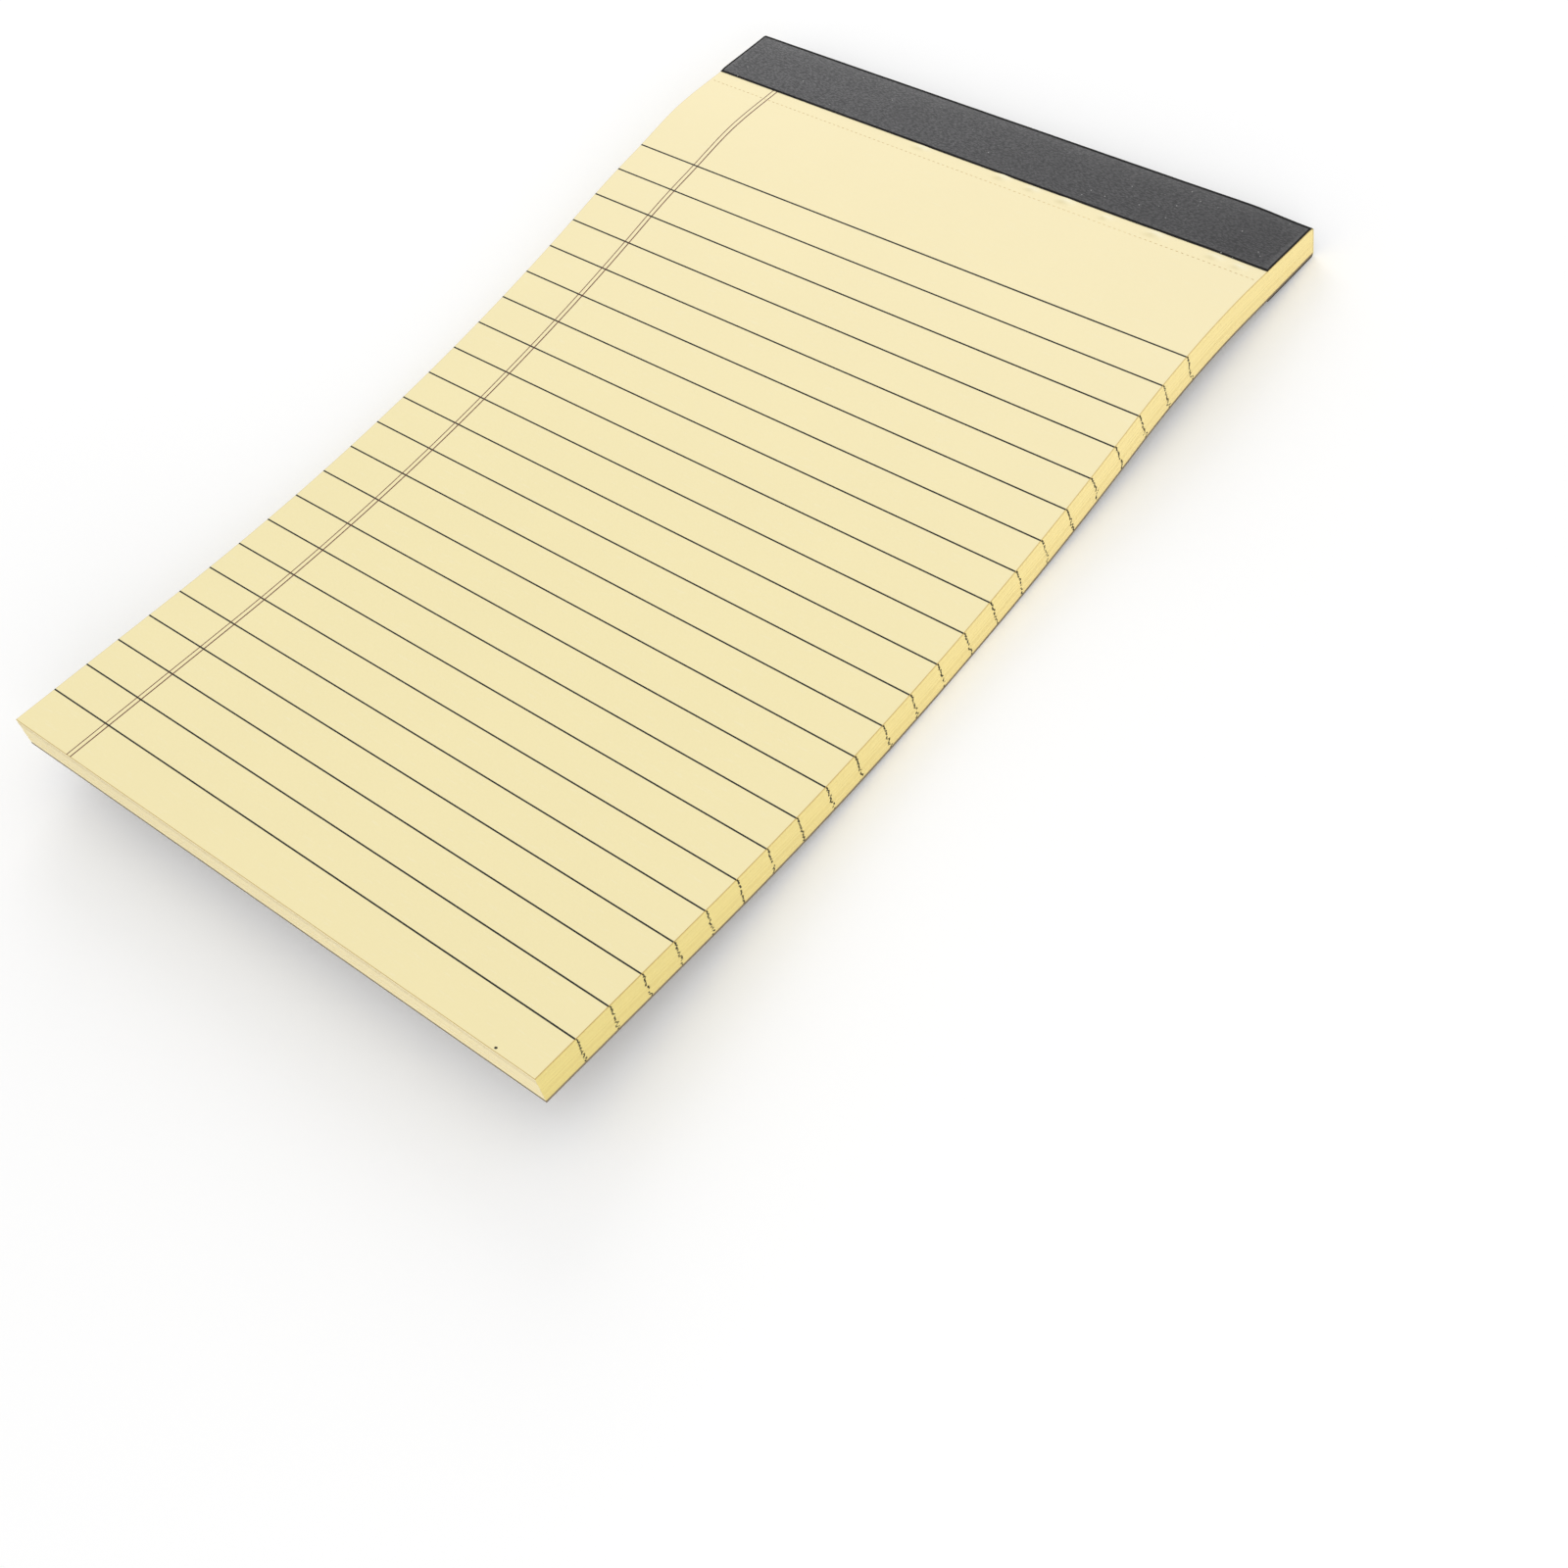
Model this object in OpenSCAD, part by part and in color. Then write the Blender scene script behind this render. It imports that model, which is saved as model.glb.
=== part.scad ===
// Ruled memo pad: perforated sheets on a thin backing board, wire stitched at the head,
// with a binding strip folded over the head, lying at rest with the slow curl of a used pad.
// X runs across the ruling, Y from the foot to the head, Z up from the table.

/* [Sheets] */
// Width of the pad across the ruling
pad_w = 127; // [100:0.5:220]
// Length of the top sheet from its foot edge to the head, measured along its curl
sheet_l = 203.2; // [160:0.1:360]
// Number of sheets in the block
sheet_count = 50; // [20:1:100]
// Thickness of one sheet with the air under it
sheet_t = 0.12; // [0.08:0.005:0.2]
// How far the top sheet reaches past the lowest one at the foot
foot_fan = 0.4; // [0:0.1:2]

/* [Perforation] */
// Distance from the front edge of the binding strip to the row of slits
perf_gap = 3; // [2:0.5:10]
// Length of one slit
perf_slit = 1.3; // [0.5:0.1:3]
// Paper left between two slits
perf_tie = 0.7; // [0.4:0.1:2]
// Width of one slit
perf_w = 0.12; // [0.05:0.01:0.3]

/* [Backing board] */
// Thickness of the board
board_t = 0.5; // [0.4:0.05:1.5]

/* [Binding strip] */
// Thickness of the strip
strip_t = 0.25; // [0.15:0.05:0.6]
// Width of the strip on the front, from the head
strip_front = 14.2; // [12:0.1:30]
// Width of the strip on the back, from the head
strip_back = 14.2; // [12:0.1:30]
// Radius of the sheets' top edge under the fold
fold_r = 0.9; // [0.3:0.1:2]
// Thickness of the glue under the strip
glue_t = 0.02; // [0.01:0.01:0.1]

/* [Wire stitches] */
// Diameter of the wire
wire_d = 0.4; // [0.3:0.05:0.6]
// Distance between the legs of one stitch
stitch_crown = 12; // [10:0.5:16]
// Distance from the side of the pad to the nearer leg
stitch_side = 22; // [10:0.5:30]
// Distance from the head to the wire
stitch_inset = 7; // [4:0.5:10]
// Length of each clinched tail past its bend
stitch_tail = 3.5; // [2:0.1:4.2]
// Clearance round the wire
wire_fit = 0.02; // [0.01:0.01:0.05]

/* [Curl] */
// Straight run at the foot
foot_run = 36; // [20:1:60]
// Straight run between the perforation and the start of the crest
head_lead = 3.3; // [2:0.1:20]
// Angle through which the pad sweeps up from the foot
sag_angle = 14; // [8:0.5:20]
// Angle through which it bends back at the crest
crest_angle = 12; // [4:0.5:16]
// Radius of the crest at the underside of the board
crest_r = 158; // [80:1:260]

/* [Hidden] */
// Steps along each long bend and round the head edge of the sheets
curl_steps = 28;
round_steps = 12;

stack_t = sheet_count * sheet_t;
total_t = board_t + stack_t;

// Lengths of the runs along the top sheet, and the radius that the sweep up then has
head_run = max(strip_front + perf_gap, strip_back) + head_lead;
crest_l = (crest_r + total_t) * crest_angle * PI / 180;
sag_l = sheet_l - foot_run - head_run - crest_l;
sag_r = sag_l / (sag_angle * PI / 180) + total_t;
net_angle = sag_angle - crest_angle;

// A [y, z] pair turned about X, from +Y towards +Z
function turned(p, a) = [p.x * cos(a) - p.y * sin(a), p.x * sin(a) + p.y * cos(a)];

// Places on the side view, as [y, z] from the foot end of the straight underside
sag_centre = [foot_run, sag_r];
crest_centre = sag_centre + turned([0, -sag_r - crest_r], sag_angle);
head_start = crest_centre + turned([0, crest_r], net_angle);

// A point on the straight run at the head, s along it and h above the underside
function head_point(s, h) = head_start + turned([s, h], net_angle);

// Points on the round of a head edge, from one angle to another about a centre on that run
function head_round(s, h, r, from, to) =
    [for (i = [0 : round_steps]) head_point(s, h) + turned([r, 0], net_angle + from + (to - from) * i / round_steps)];

// Points along both bends of a layer's face, h above the underside, from the foot to the head
function curl(h) = concat(
    [for (i = [0 : curl_steps]) sag_centre + turned([0, h - sag_r], sag_angle * i / curl_steps)],
    [for (i = [1 : curl_steps]) crest_centre + turned([0, h + crest_r], sag_angle - crest_angle * i / curl_steps)]
);

// The same points from the head to the foot
function backwards(points) = [for (i = [len(points) - 1 : -1 : 0]) points[i]];

// The table touches the round belly of the sweep and the round heel of the strip
fold_out = fold_r + glue_t + strip_t;
fold_centre = head_point(head_run - fold_r, total_t - fold_r);
heel_out = board_t + glue_t + strip_t;
heel_centre = head_point(head_run - board_t, board_t);
heel_from_sag = heel_centre - sag_centre;
rest_tilt = atan2(heel_from_sag.x, -heel_from_sag.y) - acos((sag_r - heel_out) / norm(heel_from_sag));
foot_top = turned([0, total_t], -rest_tilt);
foot_low = turned([foot_fan, board_t], -rest_tilt);
foot_under = turned([foot_fan, 0], -rest_tilt);
foot_end = min(foot_top.x, foot_low.x, foot_under.x);
fold_end = turned(fold_centre, -rest_tilt).x + fold_out;
heel_end = turned(heel_centre, -rest_tilt).x + heel_out;
mid_y = (foot_end + max(fold_end, heel_end)) / 2;
table_z = turned(sag_centre, -rest_tilt).y - sag_r;

// The row of slits
perf_pitch = perf_slit + perf_tie;
perf_count = floor((pad_w - perf_tie) / perf_pitch);
perf_y = head_run - strip_front - perf_gap;

// The wire's centre line, in the frame of the straight run at the head
wire_bend = wire_d;
crown_z = total_t - wire_fit - wire_d / 2;
tail_z = wire_fit + wire_d / 2;
stitch_x = pad_w / 2 - stitch_side - stitch_crown / 2;
stitch_y = head_run - stitch_inset;
groove_w = wire_d + 2 * wire_fit;

// Facets of a full turn on a true round
round_fn = 48;

// Sets a part drawn in the foot's frame down on the table, with the origin under its middle
module at_rest() {
    translate([0, -mid_y, -table_z])
    rotate([-rest_tilt, 0, 0])
    children();
}

// Moves to the straight run at the head, with its start at the underside as the origin
module on_head_run() {
    translate([0, head_start.x, head_start.y])
    rotate([net_angle, 0, 0])
    children();
}

// Draws a side view, along and up, over the whole width of the pad
module across() {
    rotate([90, 0, 90])
    linear_extrude(height = pad_w, center = true)
    children();
}

// A quarter of a fold over an edge of the given radius, with its centre at the origin
module fold_quarter(edge_r) {
    intersection() {
        difference() {
            circle(edge_r + glue_t + strip_t, $fn = round_fn);
            circle(edge_r + glue_t, $fn = round_fn);
        }
        square(edge_r + glue_t + strip_t);
    }
}

// A quarter bend of the wire from +X to +Y about the origin
module wire_corner(d) {
    rotate_extrude(angle = 90, $fn = round_fn)
    translate([wire_bend, 0])
    circle(d = d, $fn = round_fn);
}

// Half of one stitch, grown all round, from the middle of its crown to the tip of its tail
module half_stitch(grow) {
    d = wire_d + 2 * grow;
    leg_x = stitch_crown / 2;

    translate([0, 0, crown_z])
    rotate([0, 90, 0])
    cylinder(d = d, h = leg_x - wire_bend, $fn = round_fn);

    translate([leg_x - wire_bend, 0, crown_z - wire_bend])
    rotate([90, 0, 0])
    wire_corner(d);

    translate([leg_x, 0, tail_z + wire_bend])
    cylinder(d = d, h = crown_z - tail_z - 2 * wire_bend, $fn = round_fn);

    translate([leg_x - wire_bend, 0, tail_z + wire_bend])
    rotate([-90, 0, 0])
    wire_corner(d);

    translate([leg_x - wire_bend, 0, tail_z])
    rotate([0, -90, 0])
    cylinder(d = d, h = stitch_tail + grow, $fn = round_fn);
}

// One whole stitch, driven from above and clinched below
module stitch(grow = 0) {
    half_stitch(grow);
    mirror([1, 0, 0])
    half_stitch(grow);
}

// Puts a stitch, or the room for one, at both places
module at_stitches() {
    for (side = [-1, 1])
        translate([side * stitch_x, stitch_y, 0])
        children();
}

// Room for a stitch, with its crown in a groove open to the front and its tails in slots open to the back
module stitch_room() {
    reach = stitch_crown / 2 + groove_w / 2;
    tail_end = stitch_crown / 2 - wire_bend - stitch_tail - wire_fit;

    stitch(wire_fit);
    translate([-reach, -groove_w / 2, crown_z])
    cube([2 * reach, groove_w, total_t]);

    for (side = [0, 1])
        mirror([side, 0, 0])
        translate([tail_end, -groove_w / 2, tail_z - total_t])
        cube([reach - tail_end, groove_w, total_t]);
}

// The row of slits through every sheet
module perforation() {
    for (i = [0 : perf_count - 1])
        translate([(i - (perf_count - 1) / 2) * perf_pitch, perf_y, total_t / 2])
        cube([perf_slit, perf_w, 2 * total_t], center = true);
}

// The ruled sheets as one block, fanned at the foot and rounded where the strip folds over the head
module page_block() {
    side = concat(
        [[foot_fan, board_t]],
        curl(board_t),
        [head_point(head_run, board_t)],
        head_round(head_run - fold_r, total_t - fold_r, fold_r, 0, 90),
        backwards(curl(total_t)),
        [[0, total_t]]
    );
    color("#F7EBBA")
    at_rest()
    difference() {
        across()
        polygon(side);

        on_head_run() {
            perforation();
            at_stitches()
            stitch_room();
        }
    }
}

// The thin card under the sheets, its head edge rounded by the fold of the strip
module backing_board() {
    side = concat(
        [[foot_fan, 0]],
        curl(0),
        head_round(head_run - board_t, board_t, board_t, -90, 0),
        backwards(curl(board_t)),
        [[foot_fan, board_t]]
    );
    color("#8E877C")
    at_rest()
    difference() {
        across()
        polygon(side);

        on_head_run()
        at_stitches()
        stitch_room();
    }
}

// The strip glued to the front, folded over the head and glued to the back
module binding_strip() {
    color("#58585A")
    at_rest()
    on_head_run()
    across() {
        translate([head_run - strip_front, total_t + glue_t])
        square([strip_front - fold_r, strip_t]);

        translate([head_run - fold_r, total_t - fold_r])
        fold_quarter(fold_r);

        translate([head_run + glue_t, board_t])
        square([strip_t, stack_t - fold_r]);

        translate([head_run - board_t, board_t])
        mirror([0, 1])
        fold_quarter(board_t);

        translate([head_run - strip_back, -glue_t - strip_t])
        square([strip_back - board_t, strip_t]);
    }
}

// The stitches under the strip that hold the stubs of the sheets to the board
module wire_stitches() {
    color("silver")
    at_rest()
    on_head_run()
    at_stitches()
    stitch();
}

page_block();
backing_board();
binding_strip();
wire_stitches();
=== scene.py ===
# %% [markdown]
# A ruled memo pad
# The pad is a block of fifty cream sheets on a thin grey board. It is wire stitched near the head,
# and a strip of charcoal leatherette is glued over the stitches and folded round the head. The
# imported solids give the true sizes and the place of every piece, so each piece made here goes
# where the solids say, in metres, with Z up from the table.

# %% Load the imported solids
import math

import bpy
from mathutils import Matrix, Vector


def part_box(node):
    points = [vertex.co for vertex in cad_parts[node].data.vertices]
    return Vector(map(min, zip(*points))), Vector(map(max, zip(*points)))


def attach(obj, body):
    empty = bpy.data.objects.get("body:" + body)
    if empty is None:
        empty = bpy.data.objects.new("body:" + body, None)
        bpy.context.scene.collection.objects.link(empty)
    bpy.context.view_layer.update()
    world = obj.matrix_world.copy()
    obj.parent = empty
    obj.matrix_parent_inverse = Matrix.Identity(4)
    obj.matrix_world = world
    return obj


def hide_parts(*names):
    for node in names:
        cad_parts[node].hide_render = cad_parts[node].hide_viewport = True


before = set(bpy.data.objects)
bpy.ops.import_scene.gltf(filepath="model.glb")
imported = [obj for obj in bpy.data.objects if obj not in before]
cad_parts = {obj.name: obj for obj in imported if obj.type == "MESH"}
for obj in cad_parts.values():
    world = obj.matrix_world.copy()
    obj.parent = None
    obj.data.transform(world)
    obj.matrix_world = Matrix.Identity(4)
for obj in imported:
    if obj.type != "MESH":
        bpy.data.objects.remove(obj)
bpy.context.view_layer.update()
scene = bpy.context.scene
print("solids:", sorted(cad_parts))

# %% [markdown]
# Sizes
# The same few sizes drive the solids: a trimmed sheet of 5 by 8 inches, its thickness with the air
# under it, the board, and the strip with its glue. They are kept in millimetres, as a bookbinder
# would give them, and turned to metres only where a mesh is made.

# %% Sizes in millimetres
MM = 0.001
PAD_W = 127.0
SHEET_L = 203.2
SHEETS = 50
SHEET_PITCH = 0.12
SHEET_T = 0.116
FOOT_FAN = 0.4
BOARD_T = 0.5
STACK_T = SHEETS * SHEET_PITCH
TOTAL_T = BOARD_T + STACK_T
FOLD_R = 0.9
GLUE_T = 0.02
STRIP_T = 0.25
STRIP_W = 14.2
STRIP_OUT = GLUE_T + STRIP_T
print("pad thickness in mm:", TOTAL_T)

# %% [markdown]
# The curl
# The pad doesn't lie flat. From the foot it runs straight, sweeps up in a slow sag, bends back
# over a crest below the head, and ends in a straight run under the strip. Seen from the side this
# is two arcs between two straight lines, so a point is found from two numbers: how far along the
# top sheet it is, and how high above the underside. A drawn curve would do as well, but the rule
# keeps every sheet nested in its neighbours.

# %% The side view of the curl
FOOT_RUN = 36.0
HEAD_RUN = 20.5
SAG_ANGLE = math.radians(14)
CREST_ANGLE = math.radians(12)
NET_ANGLE = SAG_ANGLE - CREST_ANGLE
CREST_R = 158.0
CREST_L = (CREST_R + TOTAL_T) * CREST_ANGLE
SAG_L = SHEET_L - FOOT_RUN - HEAD_RUN - CREST_L
SAG_R = SAG_L / SAG_ANGLE + TOTAL_T


def turned(along, up, angle):
    """A point of the side view, turned about the origin."""
    cos, sin = math.cos(angle), math.sin(angle)
    return Vector((along * cos - up * sin, along * sin + up * cos))


SAG_CENTRE = Vector((FOOT_RUN, SAG_R))
CREST_CENTRE = SAG_CENTRE + turned(0, -SAG_R - CREST_R, SAG_ANGLE)
HEAD_START = CREST_CENTRE + turned(0, CREST_R, NET_ANGLE)


def side_view(s, h):
    """The point s from the foot and h above the underside, before the pad lies down."""
    if s <= FOOT_RUN:
        return Vector((s, h))
    s -= FOOT_RUN
    if s <= SAG_L:
        return SAG_CENTRE + turned(0, h - SAG_R, SAG_ANGLE * s / SAG_L)
    s -= SAG_L
    if s <= CREST_L:
        return CREST_CENTRE + turned(0, h + CREST_R, SAG_ANGLE - CREST_ANGLE * s / CREST_L)
    return HEAD_START + turned(s - CREST_L, h, NET_ANGLE)


print("sweep radius in mm:", round(SAG_R, 2))

# %% [markdown]
# Lying on the table
# A curled pad tips until its round belly and the heel of its strip both touch the table, which
# lifts the foot by about a centimetre. The angle comes from the two circles that touch, and the
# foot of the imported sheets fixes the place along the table.

# %% From the side view to the table
HEEL_OUT = BOARD_T + STRIP_OUT
heel_from_sag = side_view(SHEET_L - BOARD_T, BOARD_T) - SAG_CENTRE
REST_TILT = math.atan2(heel_from_sag.x, -heel_from_sag.y)
REST_TILT -= math.acos((SAG_R - HEEL_OUT) / heel_from_sag.length)
TABLE_Z = turned(*SAG_CENTRE, -REST_TILT).y - SAG_R
page_low, page_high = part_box("page_block")
MID_Y = turned(FOOT_FAN, BOARD_T, -REST_TILT).x - page_low.y / MM


def pad_point(s, h, x=0.0):
    """The place in metres of a point given in millimetres along, above and across the pad."""
    y, z = turned(*side_view(s, h), -REST_TILT)
    return Vector((x, y - MID_Y, z - TABLE_Z)) * MM


crest_top = max(pad_point(s, TOTAL_T).z for s in range(int(SHEET_L)))
print("foot lifted in mm:", round(pad_point(FOOT_FAN, 0).z / MM, 2))
print("crest differs from the solid by mm:", round((crest_top - page_high.z) / MM, 4))

# %% [markdown]
# The camera
# The photograph looks down on the pad from beyond its foot, over its right corner. The place, the
# turn and the lens were fitted to the corners of the pad and the ends of its ruled lines, with no
# shift, so the pad takes up the same part of the frame.

# %% Camera at the photograph's angle
CAMERA_PLACE = (0.243693, -0.157372, 0.298628)
CAMERA_TURN = (35.0807, 13.2696, 39.5235)
CAMERA_LENS = 53.915
SENSOR = 36.0
camera_data = bpy.data.cameras.new("photo_camera")
camera_data.lens = CAMERA_LENS
camera_data.sensor_width = SENSOR
camera = bpy.data.objects.new("photo_camera", camera_data)
camera.location = CAMERA_PLACE
camera.rotation_euler = [math.radians(angle) for angle in CAMERA_TURN]
scene.collection.objects.link(camera)
scene.camera = camera
print("camera height in mm:", round(camera.location.z / MM, 1))

# %% [markdown]
# Building node trees
# Geometry Nodes and shader nodes are both trees of nodes joined by links. These helpers make one
# node at a time: a value given for a socket is either a number or another node's output, and the
# helper sets it or links it. Outputs are kept in a small class of their own, so that a rule such
# as a * b + c can be written as it is said. Each sign makes one Math node in the tree that the
# outputs belong to.


# %% Outputs that can be reckoned with
class Value:
    """One output of a node."""

    def __init__(self, socket):
        self.socket = socket
        self.id_data = socket.id_data

    def __add__(self, other):
        return calc("ADD", self, other)

    def __radd__(self, other):
        return calc("ADD", other, self)

    def __sub__(self, other):
        return calc("SUBTRACT", self, other)

    def __rsub__(self, other):
        return calc("SUBTRACT", other, self)

    def __mul__(self, other):
        return calc("MULTIPLY", self, other)

    def __rmul__(self, other):
        return calc("MULTIPLY", other, self)

    def __truediv__(self, other):
        return calc("DIVIDE", self, other)

    def __rtruediv__(self, other):
        return calc("DIVIDE", other, self)

    def __lt__(self, other):
        return calc("LESS_THAN", self, other)

    def __gt__(self, other):
        return calc("GREATER_THAN", self, other)


print("signs that make nodes: + - * / < >")


# %% Helpers for every node tree
def link(value, socket):
    """Joins an output to an input."""
    socket.id_data.links.new(value.socket, socket)


def add(tree, kind, inputs=None, **settings):
    """One new node: settings are its properties, inputs go to its sockets by name or number."""
    node = tree.nodes.new(kind)
    for name, value in settings.items():
        setattr(node, name, value)
    for key, value in (inputs or {}).items():
        if isinstance(key, int):
            socket = node.inputs[key]
        else:
            socket = next(s for s in node.inputs if s.name == key and s.enabled)
        if isinstance(value, Value):
            link(value, socket)
        else:
            socket.default_value = value
    return node


def out(tree, kind, inputs=None, output=0, **settings):
    """One output of a new node."""
    return Value(add(tree, kind, inputs, **settings).outputs[output])


def named(node):
    """The outputs of a node by their names."""
    return {socket.name: Value(socket) for socket in node.outputs if socket.name}


def use(tree, group, inputs):
    """The outputs of a new node that runs a group."""
    return named(add(tree, group.bl_idname.replace("Tree", "Group"), inputs, node_tree=group))


def home(*values):
    """The tree of the first output among the values."""
    return next(value.id_data for value in values if isinstance(value, Value))


def calc(operation, *values):
    """The output of one Math node."""
    return out(home(*values), "ShaderNodeMath", dict(enumerate(values)), operation=operation)


def arrow(operation, *values):
    """The output of one Vector Math node."""
    return out(home(*values), "ShaderNodeVectorMath", dict(enumerate(values)), operation=operation)


def scaled(vector, amount):
    """A vector or colour made stronger or weaker."""
    return out(home(vector, amount), "ShaderNodeVectorMath", {0: vector, "Scale": amount},
               operation="SCALE")


def split(vector):
    """The three parts of a vector."""
    parts = add(vector.id_data, "ShaderNodeSeparateXYZ", {0: vector}).outputs
    return [Value(part) for part in parts]


def joined(x=0.0, y=0.0, z=0.0):
    """A vector from its three parts."""
    return out(home(x, y, z), "ShaderNodeCombineXYZ", {0: x, 1: y, 2: z})


def ramp(value, low, high, start=0.0, end=1.0, smooth=True):
    """A value mapped from one range to another, and held at its ends."""
    kind = "SMOOTHSTEP" if smooth else "LINEAR"
    return out(value.id_data, "ShaderNodeMapRange", {0: value, 1: low, 2: high, 3: start, 4: end},
               interpolation_type=kind, clamp=True)


GEOMETRY = ("Geometry", "Geometry")


def sockets(kind, *labels):
    """Names and kind of some sockets of one kind."""
    return [(label, kind) for label in labels]


def open_tree(name, inputs, outputs=(GEOMETRY,), kind="GeometryNodeTree"):
    """A new tree with named sockets: the tree, the values it is given and the sockets it fills."""
    tree = bpy.data.node_groups.new(name, kind)
    for label, socket in inputs:
        tree.interface.new_socket(label, in_out="INPUT", socket_type="NodeSocket" + socket)
    for label, socket in outputs:
        tree.interface.new_socket(label, in_out="OUTPUT", socket_type="NodeSocket" + socket)
    given = named(tree.nodes.new("NodeGroupInput"))
    filled = tree.nodes.new("NodeGroupOutput").inputs
    return tree, given, filled


def here(tree):
    """The place of each point that a geometry tree works on."""
    return out(tree, "GeometryNodeInputPosition")


def moved(shape, how, place):
    """Moves the points of a shape, by an Offset or to a Position."""
    return out(shape.id_data, "GeometryNodeSetPosition", {"Geometry": shape, how: place})


print("node helpers ready")

# %% [markdown]
# Running a geometry tree
# A tree runs as a modifier on an object that starts empty. Its inputs are set by their identifiers
# before the object is first evaluated. The evaluated result is then kept as a plain mesh and the
# modifier goes, because the export reads meshes only. Faces are shaded smooth except across sharp
# edges, so a bent sheet shows no facets and its cut edges stay crisp.


# %% Grow a piece from a tree
SHARP_EDGE = math.radians(35)


def grow(name, tree, values):
    """A new object with the mesh that the tree makes from the given values."""
    seed_mesh = bpy.data.meshes.new(name + "_seed")
    piece = bpy.data.objects.new(name, seed_mesh)
    scene.collection.objects.link(piece)
    modifier = piece.modifiers.new(name, "NODES")
    modifier.node_group = tree
    for item in tree.interface.items_tree:
        if item.in_out == "INPUT" and item.name in values:
            modifier[item.identifier] = values[item.name]
    graph = bpy.context.evaluated_depsgraph_get()
    mesh = bpy.data.meshes.new_from_object(
        piece.evaluated_get(graph), preserve_all_data_layers=True, depsgraph=graph)
    mesh.name = name
    for slot in reversed(range(len(mesh.materials))):
        if mesh.materials[slot] is None:
            mesh.materials.pop(index=slot)
    mesh.shade_smooth()
    mesh.set_sharp_from_angle(angle=SHARP_EDGE)
    piece.modifiers.clear()
    piece.data = mesh
    bpy.data.meshes.remove(seed_mesh)
    print(name, "faces:", len(mesh.polygons), "materials:", [m.name for m in mesh.materials])
    return piece


# %% [markdown]
# Paths to lay things along
# A sheet is cut flat and then bent. So every paper piece is made flat, with X across, Y along the
# sheet and Z up from its top face, and a node group lays it along a path. One path follows the top
# face of the curl and runs on a little past both ends. The other goes round the head, where the
# strip is folded.


# %% The two paths
def path_object(name, points):
    """A curve object through the points, used by the trees and removed at the end."""
    curve = bpy.data.curves.new(name, "CURVE")
    curve.dimensions = "3D"
    spline = curve.splines.new("POLY")
    spline.points.add(len(points) - 1)
    for point, place in zip(spline.points, points):
        point.co = (*place, 1)
    path = bpy.data.objects.new(name, curve)
    scene.collection.objects.link(path)
    return path


CURL_STEP = 0.4
CURL_LEAD = 4.0
curl_steps = round((SHEET_L + 2 * CURL_LEAD) / CURL_STEP)
curl_path = path_object(
    "curl_path", [pad_point(i * CURL_STEP - CURL_LEAD, TOTAL_T) for i in range(curl_steps + 1)])

FRONT_RUN = STRIP_W - FOLD_R
FOLD_RUN = (FOLD_R + STRIP_OUT) * math.pi / 2
HEAD_WALL = STACK_T - FOLD_R
HEEL_RUN = (BOARD_T + STRIP_OUT) * math.pi / 2
BACK_RUN = STRIP_W - BOARD_T
STRIP_L = FRONT_RUN + FOLD_RUN + HEAD_WALL + HEEL_RUN + BACK_RUN


def strip_point(u):
    """The place on the outer face of the strip, u along it from its front edge."""
    if u <= FRONT_RUN:
        return pad_point(SHEET_L - STRIP_W + u, TOTAL_T + STRIP_OUT)
    u -= FRONT_RUN
    if u <= FOLD_RUN:
        reach = turned(0, FOLD_R + STRIP_OUT, -math.pi / 2 * u / FOLD_RUN)
        return pad_point(SHEET_L - FOLD_R + reach.x, TOTAL_T - FOLD_R + reach.y)
    u -= FOLD_RUN
    if u <= HEAD_WALL:
        return pad_point(SHEET_L + STRIP_OUT, TOTAL_T - FOLD_R - u)
    u -= HEAD_WALL
    if u <= HEEL_RUN:
        reach = turned(BOARD_T + STRIP_OUT, 0, -math.pi / 2 * u / HEEL_RUN)
        return pad_point(SHEET_L - BOARD_T + reach.x, BOARD_T + reach.y)
    return pad_point(SHEET_L - BOARD_T - (u - HEEL_RUN), -STRIP_OUT)


FOLD_STEPS = 360
fold_path = path_object(
    "fold_path", [strip_point(STRIP_L * i / FOLD_STEPS) for i in range(FOLD_STEPS + 1)])
print("strip cut length in mm:", round(STRIP_L, 2))

# %% [markdown]
# Laying flat work on a path
# Sample Curve gives the place and the direction of the path at a length along it. The upward
# direction is that direction turned by a quarter in the side view, so each point keeps its height
# above the sheet and no layer cuts into the next.

# %% A group that lays flat geometry along a path
lay_group, given, filled = open_tree(
    "lay_along_path", [GEOMETRY, ("Path", "Object"), ("Lead", "Float")])
path_shape = out(lay_group, "GeometryNodeObjectInfo", {"Object": given["Path"]}, output="Geometry",
                 transform_space="RELATIVE")
flat = split(here(lay_group))
spot = named(add(lay_group, "GeometryNodeSampleCurve",
                 {"Curves": path_shape, "Length": flat[1] + given["Lead"]}, mode="LENGTH"))
heading = split(spot["Tangent"])
upward = joined(0.0, heading[2] * -1.0, heading[1])
lift = scaled(upward, flat[2])
side = joined(flat[0])
place = arrow("ADD", arrow("ADD", spot["Position"], side), lift)
link(moved(given["Geometry"], "Position", place), filled["Geometry"])
print("lay group nodes:", len(lay_group.nodes))

# %% [markdown]
# Uneven head
# The head isn't quite level: its right corner is pressed down, as on a pad that has been in a bag,
# and towards the left the sheets lie looser and stand up in a low ridge just below the strip. Both
# changes fade out along the edges and leave the board alone, so the sheets and the strip share
# them without meeting.

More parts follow.
